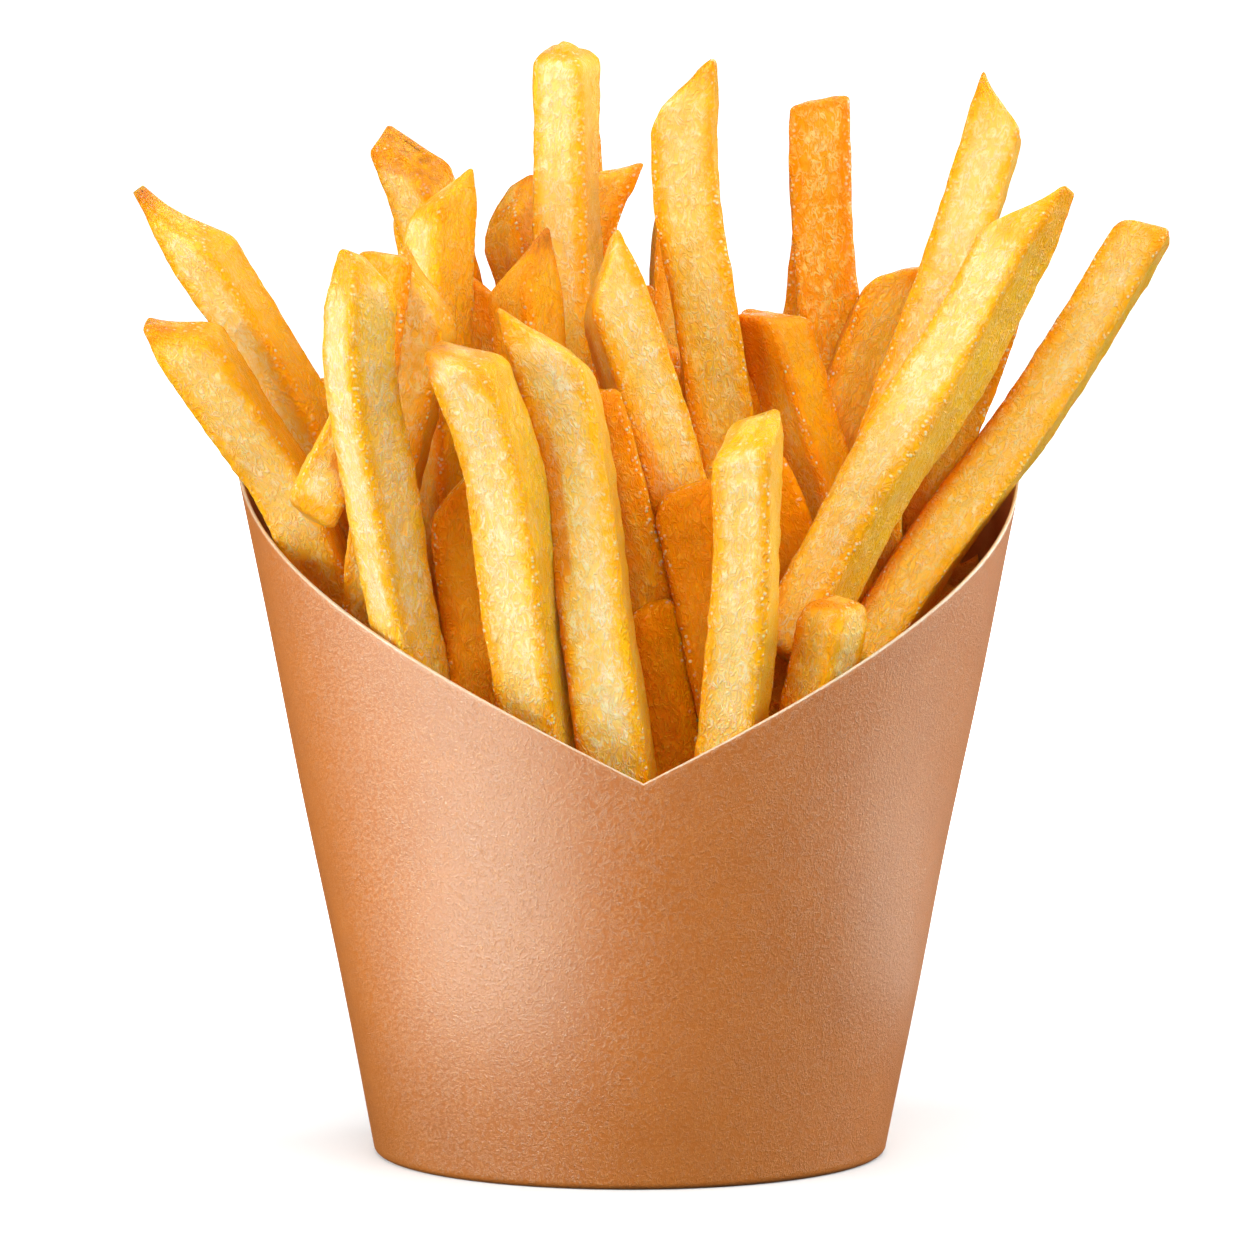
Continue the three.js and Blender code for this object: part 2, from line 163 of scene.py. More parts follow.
shownFries = [
    dict(at=[(-66.8, -8, 138.4), (-51.4, -7, 114.6), (-39.5, -8, 90), (-32, -9, 59)],
         wide=6.8, thick=7.6, roll=29, cut=14, cutTo=0, cutBow=0.85, flare=1.15, tone=0.25, brown=1,
         point=0.52, taper=15, scorch=7, gold=14),
    dict(at=[(-64, -21, 120.6), (-54.4, -18, 105.6), (-45.7, -15.5, 91), (-37, -16, 65)],
         wide=8.4, thick=8, roll=12, cut=6, cutTo=0, tone=0.3, brown=0.7, point=0.65, taper=8,
         scorch=4, gold=9, blunt=1.8),
    dict(at=[(-43.8, -34, 92), (-36.5, -34, 108), (-33.2, -32, 128)],
         wide=7.4, thick=6.5, roll=0, cut=1, cutTo=0, tone=0.05, farTone=0.75, gold=3, capPale=0.8,
         point=1),
    dict(at=[(-35, -47.5, 129.8), (-36.3, -43.5, 113.4), (-31, -35, 80), (-26, -27, 47)],
         wide=6.7, thick=7.9, roll=50, cut=4.5, cutTo=-40, tone=0.04, point=0.6, taper=9, gold=8,
         blunt=1.8, brown=0.35, pale=(0.5, 1.0, 1.0, 0.7)),
    dict(at=[(-27.4, -24, 129.4), (-28.6, -24, 114.4), (-34, -23, 91), (-35, -21, 70)],
         wide=8, thick=7, roll=14, cut=13, cutTo=5, cutBow=1.2, tone=0.2, point=0.5, taper=9, gold=8),
    dict(at=[(-33, 3, 145.4), (-27.5, 6, 129), (-23, 10, 108), (-19, 9, 82)],
         wide=8.4, thick=7, roll=40, cut=10, cutTo=15, tone=0.35, brown=0.8, capBrown=0.7, scorch=2.6,
         capPale=0.6, gold=5, blunt=1.8),
    dict(at=[(-26, -7, 140.4), (-26.8, -10, 117), (-25.5, -13, 90), (-24, -16, 68)],
         wide=7.5, thick=7.7, roll=45, cut=9.3, cutTo=120, tone=0.25, point=0.6, taper=8, capPale=0.9,
         gold=9, pale=(0.05, 1.0, 0.15, 0.9), blunt=1.8),
    dict(at=[(-23.5, -46, 117.5), (-17.5, -43.5, 100), (-14, -40, 76), (-11, -35, 49.5)],
         wide=8.7, thick=8.5, roll=23, cut=5, cutTo=0, cutBow=1.3, tone=0.12, brown=0.8, scorch=5,
         gold=5, blunt=1.8, capPale=0.6),
    dict(at=[(-13.8, -36, 122.8), (-7.8, -37.5, 103), (-4, -39, 75), (0, -35, 47)],
         wide=9.2, thick=8.2, roll=10, cut=13, cutTo=-8, cutBow=1.25, tone=0.05, gold=5, point=0.6,
         taper=9, pale=(0.05, 1.0, 0.9, 0.8)),
    dict(at=[(-15.2, -17, 131.4), (-13.6, -20, 110), (-11.5, -22, 85.5), (-9, -25, 50)],
         wide=8, thick=7.4, roll=42, cut=9, cutTo=148, cutBow=1.3, tone=0.5, brown=1,
         point=0.5, taper=11, scorch=9, gold=7, pale=(0.15, 0.3, 0.8, 0.7)),
    dict(at=[(-25, 1, 129), (-21.5, 0, 111.5), (-18, -3, 80)],
         wide=8.5, thick=6, roll=0, cut=9, cutTo=0, tone=0.42),
    dict(at=[(-9, 4, 157), (-8.5, 1, 125.5), (-6, -6, 102.5), (-2, -12, 64)],
         wide=7.9, thick=8, roll=21, cut=4, cutTo=60, tone=0.15, blunt=2.2, dome=1.1, point=0.9,
         gold=4),
    dict(at=[(-18, 12, 136.9), (-13.5, 11, 121.4), (-9, 6, 104.5), (-5, 2, 82)],
         wide=8.2, thick=8, roll=45, cut=8, cutTo=105, cutBow=1.5, tone=0.3, brown=0.2, capPale=0.8,
         gold=6, blunt=2, point=0.75),
    dict(at=[(-1.2, 21, 141), (-5.8, 20, 130.8), (-7.5, 17, 113.5), (-9, 15, 82)],
         wide=8, thick=7, roll=0, cut=8, cutTo=180, tone=0.35, gold=8),
    dict(at=[(-6, -20, 130.4), (0, -20, 113.4), (6, -20, 93), (11, -15, 70)],
         wide=8.9, thick=8, roll=-20, cut=12, cutTo=190, cutBow=1.3, tone=0.12, point=0.55,
         taper=10, gold=7, blunt=1.9, pale=(0.4, 1.0, 1.0, 0.7)),
    dict(at=[(0.5, 6, 122), (1, 5, 113), (5, 4, 82)],
         wide=6, thick=6, roll=0, cut=1, cutTo=180, tone=0.8),
    dict(at=[(7.8, -12, 154.5), (7.7, -12, 136), (11, -12, 114.5), (15.5, -6, 84)],
         wide=9.1, thick=7.5, roll=6, cut=9.4, cutTo=180, cutBow=1.8, twist=-14, tone=0.3,
         point=0.5, taper=8, gold=9, blunt=1.7, brown=0.3),
    dict(at=[(27, 16, 148.3), (27.5, 14, 126.5), (30.5, 9, 95.5), (32, 6, 78)],
         wide=8.6, thick=8, roll=2, cut=1.5, cutTo=180, tone=0.8, fleck=1.8, gold=4, point=1, blunt=0.9,
         pale=(0.05, 0.65, 0.7, 0.7)),
    dict(at=[(19, -9, 120.4), (24, -9, 104), (29, -11, 88), (32, -13, 74)],
         wide=7.6, thick=8, roll=45, cut=3.5, cutTo=-45, tone=0.42, gold=20),
    dict(at=[(42, 7, 126.8), (34.8, 5, 115), (26, -1, 92), (22, -3, 78)],
         wide=9, thick=8.3, roll=0, cut=8, cutTo=180, cutBow=1.5, tone=0.45, gold=9),
    dict(at=[(53.2, 4, 151.4), (44.5, -2, 123.8), (34.5, -10.5, 97), (35, -8, 80)],
         wide=8.2, thick=8, roll=5, cut=7, cutTo=0, tone=0.2, point=0.5, taper=8, gold=11),
    dict(at=[(58, -14, 138), (45.4, -17.5, 114.2), (32.5, -23, 93.5), (21, -27, 72.5)],
         wide=8.4, thick=9.2, roll=31, cut=12, cutTo=180, cutBow=1.3, tone=0.18, point=0.48, taper=10,
         gold=14),
    dict(at=[(73.3, 8, 131), (60.5, 2.5, 110.2), (45.5, -8, 90.5), (30.5, -21, 70)],
         wide=7.7, thick=8, roll=12, cut=1.8, cutTo=180, tone=0.25, gold=8),
    dict(at=[(16, -44, 108.6), (15.5, -41.5, 80), (11.5, -33, 44)],
         wide=8.1, thick=8.5, roll=16, cut=7.5, cutTo=120, tone=0.18, brown=0.3, blunt=2, dome=0.8,
         gold=5),
    dict(at=[(28, -37, 81.5), (25.5, -35.5, 69), (22, -31, 53.5)],
         wide=7.6, thick=7.2, roll=37, cut=1, cutTo=90, tone=0.28, brown=0.3, capPale=0.9, gold=3,
         pale=(0.8, 1.0, 0.75, 0.7)),
    dict(at=[(7, -29.5, 96.5), (10.5, -29.5, 80.5), (15, -29.5, 58)],
         wide=9, thick=7, roll=0, cut=1, cutTo=180, tone=0.85),
    dict(at=[(2, -30, 80.5), (4, -29, 72), (7, -27, 54)],
         wide=8, thick=5, roll=0, cut=1, cutTo=180, tone=1.0),
    dict(at=[(-23.5, -29, 100.5), (-22, -29, 82), (-18, -30, 56)],
         wide=9, thick=8, roll=0, cut=9, cutTo=180, cutBow=1.2, tone=0.8),
    dict(at=[(-5.5, -29, 109), (-1.5, -29, 93), (1.5, -28, 81.5), (2, -24, 64)],
         wide=8.3, thick=5.2, roll=0, cut=1, cutTo=180, tone=0.5),
    dict(at=[(6, -19, 87), (3, -20, 77), (-1, -22, 62)],
         wide=8, thick=6, roll=0, cut=4, cutTo=180, tone=0.95),
    dict(at=[(17, -18.5, 99), (20.5, -18, 91), (27, -18, 72)],
         wide=8.5, thick=5, roll=0, cut=1, cutTo=180, tone=0.85),
    dict(at=[(6.5, -4, 111.5), (7.5, -5, 103.5), (7, -5, 84)],
         wide=6, thick=6.5, roll=0, cut=1, cutTo=0, tone=0.8),
    dict(at=[(51.5, -2, 121), (45, -3, 103), (38, -6, 80)],
         wide=8.2, thick=6.5, roll=0, cut=1, cutTo=180, tone=0.4),
]
# The fries round the back and inside: each stands angle degrees round the cup from the front and
# radius mm out where it clears the rim, and leans out and round it by so many mm for each mm it
# climbs to top.
ringFries = [
    dict(angle=118, radius=45, top=118, out=0.45, round=0.05, wide=8.6, thick=8.4, roll=20),
    dict(angle=136, radius=46, top=119, out=0.4, round=-0.06, wide=9, thick=8.2, roll=50),
    dict(angle=156, radius=46, top=117, out=0.35, round=0.04, wide=8.4, thick=8.8, roll=10),
    dict(angle=173, radius=46, top=132, out=0.38, round=-0.02, wide=8.4, thick=8.4, roll=0),
    dict(angle=190, radius=47, top=135, out=0.3, round=0.05, wide=9.2, thick=8.6, roll=70),
    dict(angle=207, radius=46, top=128, out=0.42, round=0.05, wide=8.6, thick=8.2, roll=15),
    dict(angle=224, radius=46, top=121, out=0.45, round=-0.04, wide=9, thick=8.4, roll=40),
    dict(angle=242, radius=44, top=108, out=0.55, round=0.02, wide=8.8, thick=8.2, roll=60),
    dict(angle=262, radius=45, top=113, out=0.5, round=0.02, wide=8.4, thick=8.4, roll=25),
    dict(angle=101, radius=45, top=101, out=0.5, round=0, wide=8.4, thick=8.2, roll=5),
    dict(angle=132, radius=31, top=134, out=0.2, round=0.03, wide=8.4, thick=8.2, roll=0),
    dict(angle=155, radius=32, top=116, out=0.18, round=-0.02, wide=8.8, thick=8.8, roll=75),
    dict(angle=175, radius=33, top=114, out=0.22, round=0, wide=8.4, thick=8.2, roll=5),
    dict(angle=192, radius=32, top=146, out=0.2, round=-0.01, wide=8, thick=8, roll=0),
    dict(angle=219, radius=33, top=134, out=0.3, round=0.03, wide=8.8, thick=8.2, roll=20),
    dict(angle=245, radius=31, top=122, out=0.35, round=0.03, wide=8.2, thick=8.2, roll=0),
    dict(angle=128, radius=15, top=106, out=0.15, round=0.1, wide=8.4, thick=8, roll=30),
    dict(angle=144, radius=22, top=101, out=0.1, round=-0.1, wide=8.2, thick=8.4, roll=60),
    dict(angle=176, radius=15, top=105, out=0.12, round=0.05, wide=8, thick=8, roll=15),
    dict(angle=270, radius=34, top=104, out=0.3, round=-0.1, wide=8, thick=8.4, roll=35),
]
ringPass = dict(foot=70, rim=92)     # mm above the table: where they end, where they clear the rim


def ringPath(fry):
    places = []
    for height in (fry["top"], (fry["top"] + ringPass["foot"]) / 2, ringPass["foot"]):
        rise = height - ringPass["rim"]
        angle = radians(fry["angle"])
        out = fry["radius"] + fry["out"] * rise
        across = fry["round"] * rise
        places.append((out * np.sin(angle) + across * np.cos(angle),
                       -out * np.cos(angle) + across * np.sin(angle), height))
    return places


def smoothPath(places, count=240, perSpan=60):
    # a Catmull-Rom curve through the places, at even steps along its length
    knots = np.array(places, float)
    knots = np.vstack([2 * knots[0] - knots[1], knots, 2 * knots[-1] - knots[-2]])
    curve = []
    for k in range(1, len(knots) - 2):
        p0, p1, p2, p3 = knots[k - 1:k + 3]
        t = np.linspace(0, 1, perSpan, endpoint=False)[:, None]
        curve.append(0.5 * (2 * p1 + (p2 - p0) * t + (2 * p0 - 5 * p1 + 4 * p2 - p3) * t ** 2
                            + (3 * p1 - p0 - 3 * p2 + p3) * t ** 3))
    curve = np.vstack(curve + [knots[-2:-1]])
    travel = np.concatenate([[0], np.cumsum(np.linalg.norm(np.diff(curve, axis=0), axis=1))])
    even = np.linspace(0, travel[-1], count)
    return np.stack([np.interp(even, travel, curve[:, a]) for a in range(3)], 1), travel[-1]


def fryOutline(spokes, corner):
    # a unit square with round corners: places, outward ways, and how far each is from a corner
    flat = 0.5 - corner
    quarterTurn, eighthTurn = 1.57, 0.78
    places, ways, fromEdge = [], [], []
    perSide = spokes // 4
    onArc = max(perSide // 3, 3)
    onFlat = perSide - onArc
    for side in range(4):
        turn = radians(90 * side)
        spin = np.array([[np.cos(turn), -np.sin(turn)], [np.sin(turn), np.cos(turn)]])
        for k in range(onFlat):
            q = (k + 0.5) / onFlat
            places.append(spin @ (0.5, flat * (2 * q - 1)))
            ways.append(spin @ (1, 0))
            fromEdge.append(min(q, 1 - q) * 2 * flat + corner * eighthTurn)
        for k in range(onArc):
            q = (k + 0.5) / onArc
            bend = radians(90 * q)
            places.append(spin @ (flat + corner * np.cos(bend), flat + corner * np.sin(bend)))
            ways.append(spin @ (np.cos(bend), np.sin(bend)))
            fromEdge.append(abs(q - 0.5) * corner * quarterTurn)
    return np.array(places), np.array(ways), np.array(fromEdge)


# how a fry's surface stands off a plain square stick: (mm high, mm wide) for each kind of lump and
# (share of the side, mm) for the swells along it. tipCorner is how far out the cut's top corner lies,
# capShare how much of the relief the cut keeps, edgeBand where the crust's blisters fade, in mm
surface = dict(corner=0.11, lump=(0.22, 7), dent=(0.07, 2.4), crisp=(0.05, 0.9), capLump=(0.16, 2.6),
               swells=((0.03, 9), (0.015, 4.3)), tipCorner=0.42, capShare=0.3, edgeBand=(0.3, 1.3))


def fryMesh(fry, seed, rings, spokes):
    wide, thick = fry["wide"], fry["thick"]
    half = 0.5 * min(wide, thick)
    outline, ways, fromEdge = fryOutline(spokes, surface["corner"])
    curve, length = smoothPath(fry.get("at") or ringPath(fry))
    tangent = -np.gradient(curve, axis=0)
    tangent /= np.linalg.norm(tangent, axis=1)[:, None]
    # rings of points: five across the cut tip, six round its edge, the rest down the stick
    endRound = fry["blunt"]
    nearTip = endRound * (1 - np.cos(np.linspace(0, np.pi / 2, 6)))
    stations = np.concatenate([nearTip, np.linspace(endRound, length, rings)[1:]])
    nearEnd = np.maximum(endRound - stations, stations - length + endRound).clip(0)
    inset = endRound - np.sqrt(np.clip(endRound ** 2 - nearEnd ** 2, 0, None))
    capSteps = np.array([0.06, 0.3, 0.55, 0.75, 0.9])
    side = np.repeat(np.concatenate([capSteps * 0, stations]), spokes)
    shrink = 1 - np.repeat(np.concatenate([inset[0] * np.ones(5), inset]), spokes) / half
    within = np.repeat(np.concatenate([capSteps, np.ones(len(stations))]), spokes)
    count = len(side)
    square = np.tile(outline, (count // spokes, 1)) * (shrink * within)[:, None]
    way = np.tile(ways, (count // spokes, 1))
    slant = radians(fry["cutTo"])
    reach = abs(np.cos(slant)) + abs(np.sin(slant))
    lean = np.clip(0.5 + (square[:, 0] * np.cos(slant) + square[:, 1] * np.sin(slant)) / reach, 0, 1)
    drop = fry["cut"] * lean ** fry["cutBow"]
    along = drop + (length - drop) * side / length
    # the stick narrows to its highest corner over the last few mm
    narrow = fry["point"] + (1 - fry["point"]) * smoothStep(along, 0, fry["taper"])
    rng = np.random.default_rng(seed)
    local = np.stack([square[:, 0] * wide * narrow, square[:, 1] * thick * narrow, along], 1)
    local += rng.uniform(0, 900, 3)
    onCap = within < 1
    edgeMm = np.tile(fromEdge, count // spokes) * (wide + thick) / 2
    rimMm = np.where(onCap, (1 - within) * half, side)
    # relief: faces a little hollow, lumps, and a crust of fine blisters along the edges
    hollow = fry["hollow"] * smoothStep(edgeMm, 0.3, 3.4) * smoothStep(along, 1, 9)
    (lumpHigh, lumpWide), (dentHigh, dentWide) = surface["lump"], surface["dent"]
    crispHigh, crispWide = surface["crisp"]
    lumps = lumpHigh * ripple(local * (1, 1, 0.45), lumpWide, seed + 1)
    lumps = lumps + dentHigh * ripple(local, dentWide, seed + 2)
    crisp = 1 - smoothStep(np.minimum(edgeMm, rimMm), *surface["edgeBand"])
    relief = (lumps - hollow) * np.where(onCap, surface["capShare"], 1)
    relief = relief + crispHigh * crisp * ripple(local, crispWide, seed + 3)
    share = along / length
    swell = 1 + (fry["flare"] - 1) * share
    (slow, slowMm), (quick, quickMm) = surface["swells"]
    slowWave = slow * np.sin(along / slowMm + rng.uniform(0, 6))
    swell = swell * (1 + slowWave + quick * np.sin(along / quickMm))
    x = square[:, 0] * wide * swell + way[:, 0] * relief
    y = square[:, 1] * thick * swell + way[:, 1] * relief
    cornerX = -surface["tipCorner"] * wide * np.cos(slant)
    cornerY = -surface["tipCorner"] * thick * np.sin(slant)
    x = cornerX + (x - cornerX) * narrow
    y = cornerY + (y - cornerY) * narrow
    capHigh, capWide = surface["capLump"]
    capLump = capHigh * ripple(local, capWide, seed + 4) * (1 - within)
    capLift = onCap * (fry["dome"] * (1 - within ** 2) + capLump)
    at = np.clip((along - capLift) / length, 0, 1) * (len(curve) - 1)
    steps = np.arange(len(curve))
    middle = np.stack([np.interp(at, steps, curve[:, a]) for a in range(3)], 1)
    toTip = np.stack([np.interp(at, steps, tangent[:, a]) for a in range(3)], 1)
    toTip /= np.linalg.norm(toTip, axis=1)[:, None]
    front = np.array([0, -1.0, 0]) + toTip * toTip[:, 1:2]
    front /= np.linalg.norm(front, axis=1)[:, None]
    right = np.cross(toTip, front)
    turn = np.radians(fry["roll"] + fry["twist"] * share)[:, None]
    u = right * np.cos(turn) + front * np.sin(turn)
    v = front * np.cos(turn) - right * np.sin(turn)
    beyond = np.maximum(capLift - along, 0)[:, None]
    points = middle + toTip * beyond + u * x[:, None] + v * y[:, None]
    faces = [tuple(range(spokes))[::-1]] + ringFaces(count // spokes, spokes)
    faces.append(tuple(range(count - spokes, count)))
    # how much of the floury white shows: by face (right, front, left, back), less toward the tip; a low
    # share on a side turned from the lamps is partly painted shade
    facing = np.stack([way[:, 0], way[:, 1], -way[:, 0], -way[:, 1]], 1).clip(0) ** 4
    paleShare = (facing * fry["pale"]).sum(1) / facing.sum(1)
    tipGold = 1 - smoothStep(along + 3 * ripple(local, 6, seed + 5), 0.1 * fry["gold"], fry["gold"])
    paleShare = np.where(onCap, fry["capPale"], paleShare * (1 - 0.95 * tipGold))
    scorch = 1 - smoothStep(along + 1.3 * ripple(local, 2.2, seed + 6), 0, fry["scorch"])
    endFace = 1 - smoothStep(side + 0.4 * ripple(local, 2.2, seed + 7), 1, 2.4)
    brown = np.maximum(fry["brown"] * scorch, fry["capBrown"] * endFace)
    tone = fry["tone"] + (fry.get("farTone", fry["tone"]) - fry["tone"]) * smoothStep(share, 0.3, 0.9)
    grid = points.reshape(-1, spokes, 3)
    around = np.roll(grid, -1, 1) - np.roll(grid, 1, 1)
    outward = np.cross(around, np.gradient(grid, axis=0)).reshape(-1, 3)
    outward /= np.linalg.norm(outward, axis=1)[:, None] + 1e-9
    return dict(points=points, faces=faces, outward=outward, marks=dict(
        fryPlace=local, fryEdge=np.where(onCap, rimMm, np.minimum(edgeMm, rimMm * 1.5 + 0.3)),
        fryWarm=tone + 0.4 * tipGold, fryPale=paleShare * (1 - (tone - fry["tone"]).clip(0)),
        fryBrown=brown, fryFleck=np.full(count, fry.get("fleck", 1 - fry["tone"]))))


# the crust of a fry, each colour from least to most fried; the blister colour is partly a painted
# glint, and the dark amber after the browns is painted shade for what lies inside the heap
potato = dict(face=((0.0, "#fce1a8"), (0.3, "#fbd37e"), (0.6, "#f9c24a"), (1.0, "#f6a61c")),
              crust=((0.0, "#fdc01c"), (0.35, "#fcb410"), (0.7, "#faa806"), (1.0, "#f49400")),
              fleck=((0.0, "#fff5d8"), (0.3, "#ffefc2"), (0.6, "#ffe4a0"), (1.0, "#fdd272")),
              blisterGlint="#ffefc0", brown="#d67a16", burnt="#b35c10", deep="#d05400",
              patch=4.0, grain=1.5, fibre=0.85, pore=0.35, blister=0.8,     # sizes in mm
              relief=0.4, glow=2.0)     # mm: how deep the relief is, how far red light travels inside


def friedPotato(name, dull, shiny):
    # twice-fried potato: a thin glassy crust over a floury inside that lets light through; the crust
    # is smooth golden along edges and tips, and the cut faces are wrinkled with white starch fibre
    material = bpy.data.materials.new(name)
    material.use_nodes = True
    tree = material.node_tree
    tree.nodes.clear()
    place, edge, warm, pale, brown, deep, flecked = [
        addNode(tree, "ShaderNodeAttribute", dict(attribute_name=mark)).outputs[socket]
        for mark, socket in (("fryPlace", "Vector"), ("fryEdge", "Fac"), ("fryWarm", "Fac"),
                             ("fryPale", "Fac"), ("fryBrown", "Fac"), ("fryDeep", "Fac"),
                             ("fryFleck", "Fac"))]
    # the patches and fibres run about twice as long as they are wide
    lengthways = addNode(tree, "ShaderNodeVectorMath", {"operation": "MULTIPLY", 1: (1, 1, 0.5)},
                         {0: place})
    patches = addNode(tree, "ShaderNodeTexNoise", dict(Scale=1 / potato["patch"], Detail=2.0),
                      dict(Vector=lengthways))
    grain = addNode(tree, "ShaderNodeTexNoise", dict(Scale=1 / potato["grain"], Detail=3.0,
                    Roughness=0.6, Distortion=0.5), dict(Vector=place))
    fibres = addNode(tree, "ShaderNodeTexNoise", dict(Scale=1 / potato["fibre"], Detail=2.0,
                     Distortion=1.2), dict(Vector=lengthways))
    pores = addNode(tree, "ShaderNodeTexNoise", dict(Scale=1 / potato["pore"], Detail=2.0),
                    dict(Vector=place))
    blisters = addNode(tree, "ShaderNodeTexVoronoi", dict(Scale=1 / potato["blister"]),
                       dict(Vector=place))

    # warmth: the fry's own tone, its patches, its edges, and painted shade that turns what lies far
    # into the heap amber
    mottle = addNode(tree, "ShaderNodeMapRange", {1: 0.25, 2: 0.75, 3: -0.17, 4: 0.17}, {0: patches})
    rim = addNode(tree, "ShaderNodeMapRange", {1: 0.4, 2: 1.6, 3: 0.24, 4: 0.0}, {0: edge})
    mottle = addNode(tree, "ShaderNodeMath", dict(operation="ADD"), {0: mottle, 1: rim})
    toneAndShade = addNode(tree, "ShaderNodeMapRange", {1: 0.2, 2: 1.0, 3: 0.0, 4: 0.6}, {0: deep})
    toneAndShade = addNode(tree, "ShaderNodeMath", dict(operation="ADD"), {0: toneAndShade, 1: warm})
    warmth = addNode(tree, "ShaderNodeMath", dict(operation="ADD", use_clamp=True),
                     {0: toneAndShade, 1: mottle})
    ramps = {}
    for part in ("face", "crust", "fleck"):
        ramps[part] = addNode(tree, "ShaderNodeValToRGB", None, {0: warmth})
        stops = ramps[part].color_ramp.elements
        for position, colour in potato[part][1:-1]:
            stops.new(position).color = toLinear(colour)
        stops[0].color = toLinear(potato[part][0][1])
        stops[len(stops) - 1].color = toLinear(potato[part][-1][1])

    # the floury part of a face has a ragged border, a little way in from the edges
    ragged = addNode(tree, "ShaderNodeMath", {"operation": "MULTIPLY_ADD", 1: 2.2},
                     {0: grain, 2: edge})
    inside = addNode(tree, "ShaderNodeMapRange", {"interpolation_type": "SMOOTHSTEP", 1: 1.3,
                     2: 3.6}, {0: ragged})
    blotch = addNode(tree, "ShaderNodeMapRange", {1: 0.36, 2: 0.58, 3: 0.45, 4: 1.0}, {0: patches})
    bare = addNode(tree, "ShaderNodeMath", dict(operation="MULTIPLY"), {0: inside, 1: blotch})
    paleShare = addNode(tree, "ShaderNodeMath", dict(operation="MULTIPLY", use_clamp=True),
                     {0: bare, 1: pale})
    colour = addNode(tree, "ShaderNodeMix", dict(data_type="RGBA"),
                     {0: paleShare, 6: ramps["crust"], 7: ramps["face"]}).outputs[2]

    # starch fibres: bent white ridges where the noise crosses its middle, gold in the hollows between,
    # partly the crust's own colour and partly painted shade in the creases; real ones are finer, drawn
    # this coarse to show
    offLine = addNode(tree, "ShaderNodeMath", {"operation": "SUBTRACT", 1: 0.5}, {0: fibres})
    offLine = addNode(tree, "ShaderNodeMath", dict(operation="ABSOLUTE"), {0: offLine})
    ridge = addNode(tree, "ShaderNodeMapRange", {1: 0.0, 2: 0.1, 3: 1.0, 4: 0.0}, {0: offLine})
    broken = addNode(tree, "ShaderNodeMapRange", {1: 0.38, 2: 0.6}, {0: grain})
    line = addNode(tree, "ShaderNodeMath", dict(operation="MULTIPLY"), {0: ridge, 1: broken})
    lineShow = addNode(tree, "ShaderNodeMapRange", {1: 0.0, 2: 0.7, 3: 0.28, 4: 0.9}, {0: paleShare})
    lineShow = addNode(tree, "ShaderNodeMath", dict(operation="MULTIPLY"), {0: lineShow, 1: flecked})
    lineShow = addNode(tree, "ShaderNodeMath", dict(operation="MULTIPLY", use_clamp=True),
                       {0: line, 1: lineShow})
    colour = addNode(tree, "ShaderNodeMix", dict(data_type="RGBA"),
                     {0: lineShow, 6: colour, 7: ramps["fleck"]}).outputs[2]
    creaseGoldAndShade = addNode(tree, "ShaderNodeMapRange", {1: 0.05, 2: 0.18, 3: 0.0, 4: 0.4}, {0: offLine})
    colour = addNode(tree, "ShaderNodeMix", dict(data_type="RGBA"),
                     {0: creaseGoldAndShade, 6: colour, 7: ramps["crust"]}).outputs[2]

    # beads of blistered starch in a chain along the edges: raised bumps, and their pale colour is
    # partly a painted glint
    blisterGlint = addNode(tree, "ShaderNodeMapRange", {1: 0.16, 2: 0.36, 3: 1.0, 4: 0.0}, {0: blisters})
    chain = addNode(tree, "ShaderNodeMapRange", {1: 0.3, 2: 0.9, 3: 1.0, 4: 0.0}, {0: edge})
    some = addNode(tree, "ShaderNodeMapRange", {1: 0.36, 2: 0.5}, {0: patches})
    chain = addNode(tree, "ShaderNodeMath", dict(operation="MULTIPLY"), {0: chain, 1: some})
    blisterGlint = addNode(tree, "ShaderNodeMath", dict(operation="MULTIPLY"), {0: blisterGlint, 1: chain})
    blisterGlintShow = addNode(tree, "ShaderNodeMath", {"operation": "MULTIPLY", 1: 0.85}, {0: blisterGlint})
    colour = addNode(tree, "ShaderNodeMix", {"data_type": "RGBA", 7: toLinear(potato["blisterGlint"])},
                     {0: blisterGlintShow, 6: colour}).outputs[2]

    # browning, mottled, darkest where it is strongest
    mottled = addNode(tree, "ShaderNodeMapRange", {1: 0.35, 2: 0.65, 3: 0.5, 4: 1.0}, {0: grain})
    toast = addNode(tree, "ShaderNodeMath", dict(operation="MULTIPLY", use_clamp=True),
                    {0: brown, 1: mottled})
    toastColour = addNode(tree, "ShaderNodeMix", {"data_type": "RGBA", 6: toLinear(potato["brown"]),
                          7: toLinear(potato["burnt"])}, {0: toast}).outputs[2]
    colour = addNode(tree, "ShaderNodeMix", dict(data_type="RGBA"),
                     {0: toast, 6: colour, 7: toastColour}).outputs[2]

    # painted shade: what lies between other fries, where rays from it are blocked, is darkened toward
    # amber in its colour
    paintedShadeMix = addNode(tree, "ShaderNodeMapRange", {"interpolation_type": "SMOOTHSTEP", 1: 0.76, 2: 1.0,
                    3: 0.0, 4: 0.5}, {0: deep})
    colour = addNode(tree, "ShaderNodeMix", {"data_type": "RGBA", 7: toLinear(potato["deep"])},
                     {0: paintedShadeMix, 6: colour}).outputs[2]

    height = addNode(tree, "ShaderNodeMath", {"operation": "MULTIPLY", 1: 0.4}, {0: blisterGlint})
    for pattern, share in ((grain, 0.6), (pores, 0.25), (ridge, 0.38)):
        height = addNode(tree, "ShaderNodeMath", {"operation": "MULTIPLY_ADD", 1: share},
                         {0: pattern, 2: height})
    bump = addNode(tree, "ShaderNodeBump", dict(Strength=1.0, Distance=potato["relief"] * mm),
                   dict(Height=height))
    gloss = addNode(tree, "ShaderNodeMapRange", {3: shiny, 4: dull}, {0: paleShare})
